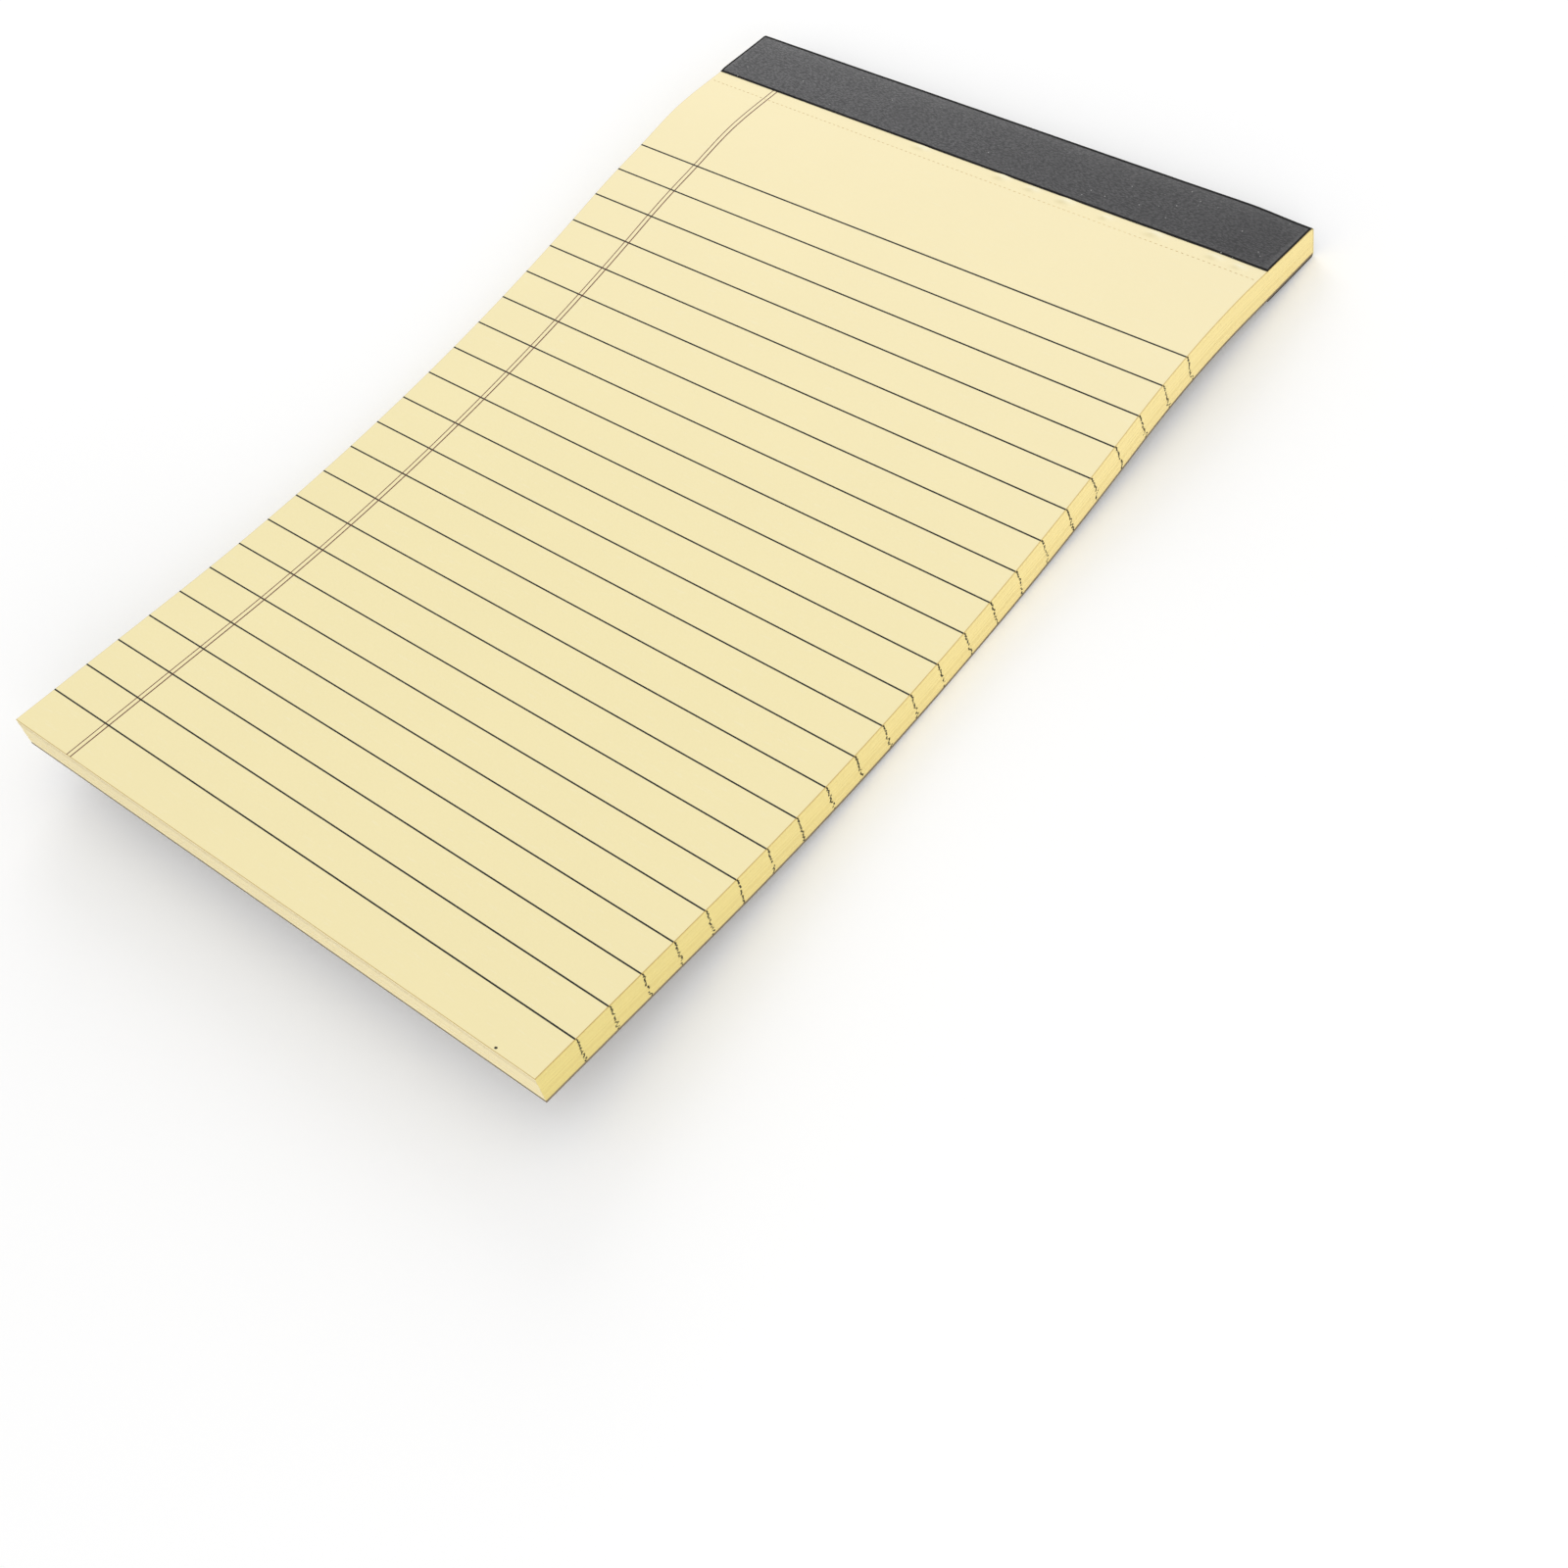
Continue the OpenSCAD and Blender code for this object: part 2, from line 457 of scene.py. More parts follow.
# %% A group that presses the head corners
LEFT_PRESS = -1.0
LEFT_ACROSS = 100.0
RIDGE_ALONG = (42.0, 26.0)
RIDGE_AT_HEAD = 0.4
RIGHT_PRESS = 0.65
RIGHT_ACROSS = 13.0
CORNER_ALONG = 24.0
head_foot = pad_point(SHEET_L, BOARD_T)
head_up = (pad_point(SHEET_L, TOTAL_T) - head_foot).normalized()
head_along = (head_foot - pad_point(SHEET_L - 1, BOARD_T)).normalized()

press_group, given, filled = open_tree(
    "press_head_corners", [GEOMETRY] + sockets("Float", "Left Press", "Right Press"))
point = here(press_group)
from_head = arrow("SUBTRACT", point, tuple(head_foot))


def measured(direction):
    """The distance of a point from the head edge of the board, along a direction."""
    return out(press_group, "ShaderNodeVectorMath", {0: from_head, 1: tuple(direction)},
               output="Value", operation="DOT_PRODUCT")


out_across = split(point)[0]
half_w = PAD_W / 2
at_right = ramp(out_across, (half_w - RIGHT_ACROSS) * MM, half_w * MM)
at_left = ramp(out_across, (LEFT_ACROSS - half_w) * MM, -half_w * MM, smooth=False)
past_head = measured(head_along)
at_corner = at_right * ramp(past_head, -CORNER_ALONG * MM, 0.0)
ridge = (ramp(past_head, -RIDGE_ALONG[0] * MM, -RIDGE_ALONG[1] * MM)
         * ramp(past_head, -RIDGE_ALONG[1] * MM, 0.0, 1.0, RIDGE_AT_HEAD))
on_ridge = at_left * ridge
pressing = at_corner * given["Right Press"] + on_ridge * given["Left Press"]
height = ramp(measured(head_up), 0.0, STACK_T * MM, smooth=False)
depth = pressing * height
down = scaled(tuple(-head_up), depth)
link(moved(given["Geometry"], "Offset", down), filled["Geometry"])
print("press group nodes:", len(press_group.nodes))

# %% [markdown]
# Colours
# Colours are written as they look in the photograph, from 0 to 255, and turned to the linear
# values that the shaders work in. The light in this scene is set so that they come out about as
# written.


# %% Colour and shader helpers
def tone(red, green, blue):
    """A screen colour as linear red, green, blue and alpha."""
    def linear(value):
        value /= 255
        return value / 12.92 if value <= 0.04045 else ((value + 0.055) / 1.055) ** 2.4
    return (linear(red), linear(green), linear(blue), 1.0)


def new_material(name, roughness, shine=0.5):
    """A material with one plain shader: the material, its tree and the shader."""
    material = bpy.data.materials.new(name)
    material.use_nodes = True
    shader = material.node_tree.nodes["Principled BSDF"]
    shader.inputs["Roughness"].default_value = roughness
    shader.inputs["Specular IOR Level"].default_value = shine
    return material, material.node_tree, shader


def blended(factor, first, second):
    """Two colours mixed by a factor."""
    return out(factor.id_data, "ShaderNodeMix", {0: factor, 6: first, 7: second}, output=2,
               data_type="RGBA")


def attribute(tree, name, output):
    """A value that the mesh carries for its materials."""
    return out(tree, "ShaderNodeAttribute", output=output, attribute_name=name)


def millimetres(tree):
    """Places on the piece in millimetres, from its Object coordinates."""
    return scaled(out(tree, "ShaderNodeTexCoord", output="Object"), 1 / MM)


def noise(place, scale, detail=2.0, roughness=0.5):
    """The value of a noise texture with the given patches to a millimetre."""
    return out(place.id_data, "ShaderNodeTexNoise",
               {"Vector": place, "Scale": scale, "Detail": detail, "Roughness": roughness})


def painted(shader, colour):
    """Gives the shader its colour."""
    link(colour, shader.inputs["Base Color"])


def bumped(shader, height, distance, strength=1.0):
    """A bump of the given real depth on the shader."""
    bump = out(shader.id_data, "ShaderNodeBump",
               {"Height": height, "Distance": distance, "Strength": strength})
    link(bump, shader.inputs["Normal"])


print("cream in linear:", [round(value, 3) for value in tone(247, 235, 186)[:3]])

# %% [markdown]
# Fibres
# Paper and board are both felted fibres. Close up the tone drifts in soft clouds, and short
# strands lie along the grain. One shader group makes this for the sheets, their cut edges and the
# board, each with its own colours and strength.

# %% Shared group of fibres
CLOUD_SCALE = 0.05
FINE_SCALE = 1.7
STRAND_STRETCH = (0.35, 3.2, 3.2)
STRAND_SHOWS = (0.58, 0.74)
STRAND_HEIGHT = 0.5
CLOUD_SHARE, FINE_SHARE = 0.6, 0.4

fibre_group, given, filled = open_tree(
    "paper_fibres",
    [("Place", "Vector")] + sockets("Color", "Colour", "Strand Colour")
    + sockets("Float", "Mottle", "Strands"),
    [("Colour", "Color"), ("Height", "Float")], "ShaderNodeTree")
cloud = noise(given["Place"], CLOUD_SCALE, detail=3.0)
fine = noise(given["Place"], FINE_SCALE, detail=4.0, roughness=0.6)
stretched = arrow("MULTIPLY", given["Place"], STRAND_STRETCH)
strand = ramp(noise(stretched, 1.0), *STRAND_SHOWS)
drift = cloud * CLOUD_SHARE + fine * FINE_SHARE
drift = (drift - 0.5) * given["Mottle"]
ground = scaled(given["Colour"], drift + 1.0)
shown = blended(strand * given["Strands"], ground, given["Strand Colour"])
link(shown, filled["Colour"])
link(fine + strand * STRAND_HEIGHT, filled["Height"])
print("fibre group sockets:", [item.name for item in fibre_group.interface.items_tree])

# %% [markdown]
# Specks
# Leatherette picks up pale lint and grey board shows dark flecks. A Voronoi texture gives one cell
# to each possible speck; only a share of the cells keeps theirs, and each is a small dot at its
# middle.

# %% Shared group of specks
SPECK_SOFT = 0.4

speck_group, given, filled = open_tree(
    "small_specks",
    [("Place", "Vector")] + sockets("Float", "Spacing", "Radius", "Share"),
    [("Mask", "Float")], "ShaderNodeTree")
cells = named(add(speck_group, "ShaderNodeTexVoronoi",
                  {"Vector": given["Place"], "Scale": 1.0 / given["Spacing"]},
                  voronoi_dimensions="2D"))
inside = cells["Distance"] * given["Spacing"]
dot = 1.0 - inside / given["Radius"]
kept = split(cells["Color"])[0] < given["Share"]
mask = ramp(dot * kept, 0.0, SPECK_SOFT)
link(mask, filled["Mask"])
print("speck group nodes:", len(speck_group.nodes))

# %% [markdown]
# Cream paper
# The sheets are uncoated writing paper, dyed through: a warm cream, quite matt. The cream is
# painted a little paler towards the head, as painted light, and a hair-thin darker border is
# painted shade along the edges. The border follows the sheet, so it is found from the place that
# each point had on the flat sheet, which the tree stores on the mesh. The light is so even that
# small puckers would hardly show by shape alone, so their lit and shaded sides are tinted as well.

# %% Cream paper for the faces of the sheets
CREAM = tone(247, 234, 183)
HEAD_LIT_CREAM = tone(251, 238, 194)
CREAM_STRAND = tone(250, 241, 206)
PUCKER_TINTS = [("pucker_light", 0.7, tone(255, 250, 222)),
                ("pucker_shade", 0.3, tone(196, 182, 126))]
EDGE_SHADE_TONE = tone(192, 164, 92)
EDGE_SHADE_W = 0.13
EDGE_SHADE_STRENGTH = 0.6
LIGHTER_FROM = 0.3
PAPER_BUMP = 0.03

cream_paper, tree, shader = new_material("cream_paper", roughness=0.8, shine=0.2)
flat = split(attribute(tree, "flat_place", "Vector"))
# The cream is painted paler towards the head: painted light, where the light falls stronger.
to_head = ramp(flat[1], LIGHTER_FROM * SHEET_L, SHEET_L)
fibres = use(tree, fibre_group, {
    "Place": millimetres(tree), "Colour": blended(to_head, CREAM, HEAD_LIT_CREAM),
    "Strand Colour": CREAM_STRAND, "Mottle": 0.05, "Strands": 0.3})
# A hair-thin darker border along the sides and the foot is painted shade at the sheet's edges.
side_shade = ramp(calc("ABSOLUTE", flat[0]), PAD_W / 2 - 1.5 * EDGE_SHADE_W, PAD_W / 2 - 0.5 * EDGE_SHADE_W)
foot_shade = ramp(flat[1], 1.2 * EDGE_SHADE_W, 0.2 * EDGE_SHADE_W)
edge_shade = calc("MAXIMUM", side_shade, foot_shade) * EDGE_SHADE_STRENGTH
face = blended(edge_shade, fibres["Colour"], EDGE_SHADE_TONE)
for name, amount, colour in PUCKER_TINTS:
    face = blended(attribute(tree, name, "Fac") * amount, face, colour)
painted(shader, face)
bumped(shader, fibres["Height"], PAPER_BUMP * MM, strength=0.5)
print("cream paper nodes:", len(tree.nodes))

# %% [markdown]
# Cut edges
# Light sinks between the sheets and comes back yellower, so the long sides of the block look
# golden, and lighter towards the head. The foot looks paler.
# Each sheet also has a tone of its own, stored on its mesh, so the block reads as many sheets and
# not as one bar. The top sheet's own edge is darker too, as painted shade.


# %% Paper edges for the sides and for the ends
GOLD_REACH = 0.7


def paper_edge(name, foot_colour, head_colour, spread):
    """Cut paper whose tone drifts along the block and changes from sheet to sheet."""
    material, tree, shader = new_material(name, roughness=0.85, shine=0.2)
    along = split(attribute(tree, "flat_place", "Vector"))[1]
    to_head = ramp(along, 0.0, GOLD_REACH * SHEET_L, smooth=False)
    fibres = use(tree, fibre_group, {
        "Place": millimetres(tree), "Colour": blended(to_head, foot_colour, head_colour),
        "Strand Colour": head_colour, "Mottle": 0.07, "Strands": 0.2})
    own = attribute(tree, "sheet_tone", "Fac")
    level = ramp(own, 0.0, 1.0, 1.0 - spread, 1.0 + spread, smooth=False)
    painted(shader, scaled(fibres["Colour"], level))
    bumped(shader, fibres["Height"], PAPER_BUMP * MM)
    return material


side_edge = paper_edge("side_edge", tone(230, 213, 138), tone(251, 232, 165), spread=0.015)
end_edge = paper_edge("end_edge", tone(245, 233, 194), tone(250, 243, 212), spread=0.06)
# The top sheet's cut edges are darker: painted shade along the top of the block.
shaded_top_edge = paper_edge("shaded_top_edge", tone(190, 156, 82), tone(220, 194, 124), spread=0.05)
print("edge materials:", side_edge.name, end_edge.name, shaded_top_edge.name)

# %% [markdown]
# How the sheets differ
# A guillotine leaves the sheets almost flush, but each wanders by a few hundredths of a
# millimetre, and the press never prints two sheets in quite the same place. Sheets come off the
# press in small bundles, so the print jumps from bundle to bundle and wavers a little within each.
# The same sheet number always gives the same wander, so a sheet and the ends of its printed lines
# move together.

# %% A group that gives each sheet its own wander
SIDE_WANDER = 0.022
FOOT_WANDER = 0.05
PRINT_WANDER = 0.05
BUNDLE = 3
BUNDLE_JUMP = 0.1
WANDER_SEED = 11

wander_group, given, filled = open_tree(
    "sheet_wander", sockets("Int", "Sheet", "Seed"),
    sockets("Float", "Side", "Foot", "Print", "Tone"))


def drawn(low, high, number, seed):
    """A random number between two limits, the same for the same piece each time."""
    return out(number.id_data, "FunctionNodeRandomValue",
               {2: low, 3: high, "ID": number, "Seed": seed}, output=1, data_type="FLOAT")


def astray(reach, number, step):
    """A random distance to either side, with a seed of its own for each thing drawn."""
    return drawn(-reach * MM, reach * MM, number, given["Seed"] + float(step))


sheet = given["Sheet"]
bundle = calc("FLOOR", sheet / float(BUNDLE))
jump = astray(BUNDLE_JUMP, bundle, 3)
waver = astray(PRINT_WANDER, sheet, 5)
wander = {"Side": astray(SIDE_WANDER, sheet, 1), "Foot": astray(FOOT_WANDER, sheet, 2),
          "Print": jump + waver, "Tone": drawn(0.0, 1.0, sheet, given["Seed"] + 4.0)}
for label, value in wander.items():
    link(value, filled[label])
print("wander outputs:", list(wander))

# %% [markdown]
# Faces of flat work
# While a piece is still flat, its faces are easy to tell apart: up and down are paper, left and
# right are the sides of the block, and the rest are its ends. These helpers pick them by their
# normals and give them their materials.


# %% Pick faces while the work is flat
def facing(tree, axis):
    """Chooses the faces that look along one axis of the flat work, either way."""
    normal = split(out(tree, "GeometryNodeInputNormal"))
    return calc("ABSOLUTE", normal[axis]) > 0.5


def plate_of(size, columns=2, rows=2):
    """A thin closed plate with enough points across and along to be bent."""
    return out(size.id_data, "GeometryNodeMeshCube",
               {"Size": size, "Vertices X": columns, "Vertices Y": rows, "Vertices Z": 2})


def dressed(shape, materials):
    """Gives the faces that look across, along and up their materials."""
    tree = shape.id_data
    for axis, material in enumerate(materials):
        shape = out(tree, "GeometryNodeSetMaterial",
                    {"Geometry": shape, "Selection": facing(tree, axis), "Material": material})
    return shape


def stored(shape, name, value, kind="FLOAT", domain="POINT"):
    """Keeps a value on the mesh under a name, for a later node or a material to read."""
    return out(shape.id_data, "GeometryNodeStoreNamedAttribute",
               {"Geometry": shape, "Name": name, "Value": value}, data_type=kind, domain=domain)


def read(tree, name, kind="FLOAT"):
    """A value that was kept on the mesh."""
    return out(tree, "GeometryNodeInputNamedAttribute", {"Name": name}, data_type=kind)


def marked(shape):
    """Keeps each point's place on the flat work, in millimetres, for the materials."""
    return stored(shape, "flat_place", scaled(here(shape.id_data), 1 / MM), "FLOAT_VECTOR")


def bent(shape, given):
    """Lays flat work along the path and presses the head corners."""
    for group, labels in ((lay_group, ("Path", "Lead")),
                          (press_group, ("Left Press", "Right Press"))):
        inputs = {"Geometry": shape, **{label: given[label] for label in labels}}
        shape = use(shape.id_data, group, inputs)["Geometry"]
    return shape


PATH_SOCKETS = [("Path", "Object")] + sockets("Float", "Lead", "Left Press", "Right Press")
PAPER_SOCKETS = sockets("Material", "Paper", "Side Edge", "End Edge")
PRESS_VALUES = {"Left Press": LEFT_PRESS * MM, "Right Press": RIGHT_PRESS * MM}
CURL_VALUES = {"Path": curl_path, "Lead": CURL_LEAD * MM, **PRESS_VALUES}
print("path sockets:", [label for label, kind in PATH_SOCKETS])

# %% [markdown]
# The stack of sheets
# Fifty sheets could be one block with a drawn edge, but the block's sides are what shows that this
# is paper. So each sheet below the top one is a thin closed plate of its own, instanced up a line
# of points and realized. Lower sheets stop a little short at the foot, and the upper ones stop
# short at the head, where the fold of the strip rounds them off.

# %% The tree for the stack
stack_tree, given, filled = open_tree(
    "sheet_stack",
    sockets("Int", "Sheets", "Seed")
    + sockets("Float", "Pitch", "Width", "Length", "Thickness", "Foot Fan", "Fold Radius")
    + PAPER_SOCKETS + PATH_SOCKETS)
SHEET_ROWS = 130
plate = plate_of(joined(given["Width"], given["Length"], given["Thickness"]), rows=SHEET_ROWS)
plate = dressed(plate, (given["Side Edge"], given["End Edge"], given["Paper"]))
lowest = (given["Sheets"] + 0.5) * given["Pitch"]
line = out(stack_tree, "GeometryNodeMeshLine",
           {"Count": given["Sheets"], "Start Location": joined(0.0, 0.0, lowest * -1.0),
            "Offset": joined(0.0, 0.0, given["Pitch"])}, mode="OFFSET")
many = out(stack_tree, "GeometryNodeInstanceOnPoints", {"Points": line, "Instance": plate})
many = stored(many, "sheet", out(stack_tree, "GeometryNodeInputIndex"), "INT", "INSTANCE")
many = out(stack_tree, "GeometryNodeRealizeInstances", {"Geometry": many})

number = read(stack_tree, "sheet", "INT")
own = use(stack_tree, wander_group, {"Sheet": number, "Seed": given["Seed"]})
many = stored(many, "sheet_tone", own["Tone"])
flat = split(here(stack_tree))
share = flat[1] / given["Length"] + 0.5
sunk = 1.0 - number / given["Sheets"]
foot = sunk * given["Foot Fan"] + own["Foot"]
above = calc("MAXIMUM", flat[2] + given["Fold Radius"], 0.0)
square = given["Fold Radius"] * given["Fold Radius"]
reach = calc("SQRT", square - above * above)
head = given["Length"] - (given["Fold Radius"] - reach)
along = foot + share * (head - foot)
across = flat[0] + own["Side"]
many = moved(many, "Position", joined(across, along, flat[2]))
link(bent(marked(many), given), filled["Geometry"])
print("stack tree nodes:", len(stack_tree.nodes))

# %% Grow the stack
sheet_stack = grow("sheet_stack", stack_tree, {
    "Sheets": SHEETS - 1, "Pitch": SHEET_PITCH * MM, "Width": PAD_W * MM, "Length": SHEET_L * MM,
    "Thickness": SHEET_T * MM, "Foot Fan": FOOT_FAN * MM, "Fold Radius": FOLD_R * MM,
    "Seed": WANDER_SEED, "Paper": cream_paper, "Side Edge": side_edge, "End Edge": end_edge,
    **CURL_VALUES})

# %% [markdown]
# The top sheet
# The top sheet is the one that is written on, so it is made with its row of slits really cut
# through. A grid has a column on each side of every slit and a row on each side of the line of
# slits; the small faces in the slits are deleted, and the rest gets its thickness. Between the
# slits and the strip the paper has a few small puckers, where glue or a finger has lifted it.

# %% Places of the slits and puckers
PERF_GAP = 3.0
PERF_SLIT = 0.52
PERF_TIE = 0.585
PERF_W = 0.1
PERF_PITCH = PERF_SLIT + PERF_TIE
PERF_COUNT = math.floor((PAD_W - PERF_TIE) / PERF_PITCH)
PERF_S = SHEET_L - STRIP_W - PERF_GAP
# Each pucker across and along the sheet, with its half width, half length and height
PUCKERS = [
    (7.0, 188.2, 1.4, 0.7, 0.4), (14.0, 188.0, 1.3, 0.6, 0.35), (21.5, 188.0, 1.6, 0.7, 0.5),
    (30.5, 187.7, 1.1, 0.6, 0.4), (41.0, 187.9, 1.8, 0.7, 0.55), (53.5, 187.7, 1.4, 0.6, 0.5),
    (58.5, 187.6, 1.2, 0.6, 0.35), (-12.0, 188.2, 1.5, 0.6, 0.3)]
LIT_SHIFT = 0.3
SHADE_SHIFT = (0.3, 0.9)
SHADE_SIZE = (0.8, 0.6)
TOP_INSET = 0.06
TOP_W = PAD_W - 2 * TOP_INSET
TOP_TONE = 0.7
WELD = 0.002
print("slits:", PERF_COUNT, "at", round(PERF_S, 2), "mm from the foot")

# %% The tree for the top sheet, and its grid
top_tree, given, filled = open_tree(
    "top_sheet",
    [("Slits", "Int")]
    + sockets("Float", "Width", "Length", "Thickness", "Slit Row", "Slit Length", "Slit Width",
              "Slit Pitch")
    + PAPER_SOCKETS + PATH_SOCKETS)
BODY_ROWS = 104
STUB_ROWS = 52
columns = given["Slits"] * 2.0 + 2.0
grid = out(top_tree, "GeometryNodeMeshGrid",
           {"Size X": 1.0, "Size Y": 1.0, "Vertices X": columns,
            "Vertices Y": BODY_ROWS + STUB_ROWS}, output="Mesh")
flat = split(here(top_tree))
last_column = columns - 1.0
column = calc("ROUND", (flat[0] + 0.5) * last_column)
row = calc("ROUND", (flat[1] + 0.5) * (BODY_ROWS + STUB_ROWS - 1.0))
slit = calc("FLOOR", (column - 1.0) / 2.0)
far_side = column - 1.5 - slit * 2.0
middle = (given["Slits"] - 1.0) / 2.0
across = far_side * given["Slit Length"] + (slit - middle) * given["Slit Pitch"]
half_w = given["Width"] / 2.0
at_left = column < 0.5
at_right = column > last_column - 0.5
at_edge = at_left + at_right
edge_x = (at_right - at_left) * half_w
across = edge_x + across * (1.0 - at_edge)

half_slit = given["Slit Width"] / 2.0
body_end = given["Slit Row"] - half_slit
stub_start = given["Slit Row"] + half_slit
body_along = ramp(row, 0.0, BODY_ROWS - 1.0, 0.0, body_end, smooth=False)
stub_along = ramp(row, float(BODY_ROWS), BODY_ROWS + STUB_ROWS - 1.0, stub_start, given["Length"],
                  smooth=False)
in_stub = row > BODY_ROWS - 0.5
along = in_stub * stub_along + (1.0 - in_stub) * body_along
under = given["Thickness"] * -1.0
sheet_shape = moved(grid, "Position", joined(across, along, under))
print("rows below and above the slits:", BODY_ROWS, STUB_ROWS)

# %% Cut the slits and give the sheet its thickness
flat = split(here(top_tree))
on_row = calc("COMPARE", flat[1], given["Slit Row"], given["Slit Width"] * 0.25)
turns = flat[0] / given["Slit Pitch"] + middle
off_slit = calc("ABSOLUTE", turns - calc("ROUND", turns))
in_slit = on_row * (off_slit < 0.25)
sheet_shape = out(top_tree, "GeometryNodeDeleteGeometry",
                  {"Geometry": sheet_shape, "Selection": in_slit}, domain="FACE")
raised = out(top_tree, "GeometryNodeExtrudeMesh",
             {"Mesh": sheet_shape, "Offset": (0.0, 0.0, 1.0), "Offset Scale": given["Thickness"],
              "Individual": False}, mode="FACES")
flipped = out(top_tree, "GeometryNodeFlipFaces", {"Mesh": sheet_shape})
both = add(top_tree, "GeometryNodeJoinGeometry")
link(raised, both.inputs[0])
link(flipped, both.inputs[0])
sheet_shape = out(top_tree, "GeometryNodeMergeByDistance",
                  {"Geometry": named(both)["Geometry"], "Distance": WELD * MM})
sheet_shape = dressed(sheet_shape, (given["Side Edge"], given["End Edge"], given["Paper"]))
sheet_shape = marked(stored(sheet_shape, "sheet_tone", TOP_TONE))
print("top sheet thickness in mm:", SHEET_T)

# %% Raise the puckers and bend the sheet
flat = split(here(top_tree))


def mound(x, s, wide, tall):
    """A soft mound of height 1 at a place on the flat sheet, in millimetres."""
    off_x = (flat[0] - x * MM) / (wide * MM)
    off_s = (flat[1] - s * MM) / (tall * MM)
    far = off_x * off_x + off_s * off_s
    return calc("EXPONENT", far * -1.0)


rise = lit = shaded = 0.0
for x, s, wide, tall, high in PUCKERS:
    rise = rise + mound(x, s, wide, tall) * (high * MM)
    lit = lit + mound(x + LIT_SHIFT * wide, s + LIT_SHIFT * tall, wide, tall)
    shaded = shaded + mound(x - SHADE_SHIFT[0] * wide, s - SHADE_SHIFT[1] * tall,
                            SHADE_SIZE[0] * wide, SHADE_SIZE[1] * tall)
sheet_shape = stored(sheet_shape, "pucker_light", lit)
sheet_shape = stored(sheet_shape, "pucker_shade", shaded)
sheet_shape = moved(sheet_shape, "Offset", joined(0.0, 0.0, rise))
link(bent(sheet_shape, given), filled["Geometry"])
print("puckers:", len(PUCKERS), "top tree nodes:", len(top_tree.nodes))

# %% Grow the top sheet
top_sheet = grow("top_sheet", top_tree, {
    "Width": TOP_W * MM, "Length": (SHEET_L - FOLD_R) * MM, "Thickness": SHEET_T * MM,
    "Slit Row": PERF_S * MM, "Slit Length": PERF_SLIT * MM, "Slit Width": PERF_W * MM,
    "Slit Pitch": PERF_PITCH * MM, "Slits": PERF_COUNT,
    "Paper": cream_paper, "Side Edge": shaded_top_edge, "End Edge": shaded_top_edge, **CURL_VALUES})

# %% [markdown]
# Inks
# The rules are printed in a thin near-black ink and the two margin lines in a brownish red.
# Printed ink lies unevenly on uncoated paper, so its tone breaks up a little along each line.


# %% Inks for the printed lines
INK_PATCH = 2.2
INK_THIN = (0.45, 0.8)
INK_GRAIN = 6.0
INK_BUMP = 0.01


def printing_ink(name, colour, thin_colour):
    """An ink that lies thinner in places."""
    material, tree, shader = new_material(name, roughness=0.6, shine=0.3)
    place = millimetres(tree)
    thin = ramp(noise(place, INK_PATCH, detail=3.0), *INK_THIN)
    painted(shader, blended(thin, colour, thin_colour))
    bumped(shader, noise(place, INK_GRAIN), INK_BUMP * MM)
    return material


rule_ink = printing_ink("rule_ink", tone(16, 24, 18), tone(38, 46, 36))
margin_ink = printing_ink("margin_ink", tone(102, 56, 46), tone(140, 92, 74))
end_ink = printing_ink("rule_end_ink", tone(52, 48, 30), tone(92, 84, 50))
print("inks:", rule_ink.name, margin_ink.name, end_ink.name)

# %% [markdown]
# Printed lines
# The sheet has twenty-three rules from edge to edge and two margin lines from the foot to under
# the strip. Painted in a material they would blur when the model is exported, so each is a very
# thin closed bar, half sunk in the paper. One tree makes both sets, from a line of points. The
# margin lines were printed a hair out of square, and the second is a little heavier.


# %% The tree for printed lines
def inked(shape, ink):
    """Gives a whole shape its ink."""
    return out(shape.id_data, "GeometryNodeSetMaterial", {"Geometry": shape, "Material": ink})


print_tree, given, filled = open_tree(
    "printed_lines",
    sockets("Int", "Lines", "Rows") + sockets("Vector", "First", "Step", "Size")
    + sockets("Float", "Skew", "Widening") + [("Ink", "Material")] + PATH_SOCKETS)
line = out(print_tree, "GeometryNodeMeshLine",
           {"Count": given["Lines"], "Start Location": given["First"], "Offset": given["Step"]},
           mode="OFFSET")
bar = plate_of(given["Size"], rows=given["Rows"])
line_number = out(print_tree, "GeometryNodeInputIndex")
wider = line_number * given["Widening"] + 1.0
bars = out(print_tree, "GeometryNodeInstanceOnPoints",
           {"Points": line, "Instance": bar, "Rotation": joined(0.0, 0.0, given["Skew"]),
            "Scale": joined(wider, 1.0, 1.0)})
bars = out(print_tree, "GeometryNodeRealizeInstances", {"Geometry": bars})
link(inked(bent(bars, given), given["Ink"]), filled["Geometry"])
print("print tree nodes:", len(print_tree.nodes))

# %% Print the rules and the margin lines
RULES = 23
RULE_PITCH = 7.1
FOOT_MARGIN = 8.45
RULE_W = 0.29
INK_T = 0.03
MARGIN_AT = 14.25
MARGIN_GAP = 0.96
MARGIN_W = 0.18
MARGIN_SKEW = 0.003
MARGIN_WIDENING = 0.3
MARGIN_TUCK = 1.0
MARGIN_L = SHEET_L - STRIP_W + MARGIN_TUCK
printed_rules = grow("printed_rules", print_tree, {
    "Lines": RULES, "First": (0, FOOT_MARGIN * MM, 0), "Step": (0, RULE_PITCH * MM, 0),
    "Size": (TOP_W * MM, RULE_W * MM, INK_T * MM), "Rows": 2, "Skew": 0.0, "Widening": 0.0,
    "Ink": rule_ink, **CURL_VALUES})
margin_lines = grow("margin_lines", print_tree, {
    "Lines": 2, "First": ((MARGIN_AT - PAD_W / 2) * MM, MARGIN_L / 2 * MM, 0),
    "Step": (MARGIN_GAP * MM, 0, 0), "Size": (MARGIN_W * MM, MARGIN_L * MM, INK_T * MM),
    "Rows": SHEET_ROWS, "Skew": MARGIN_SKEW, "Widening": MARGIN_WIDENING, "Ink": margin_ink,
    **CURL_VALUES})

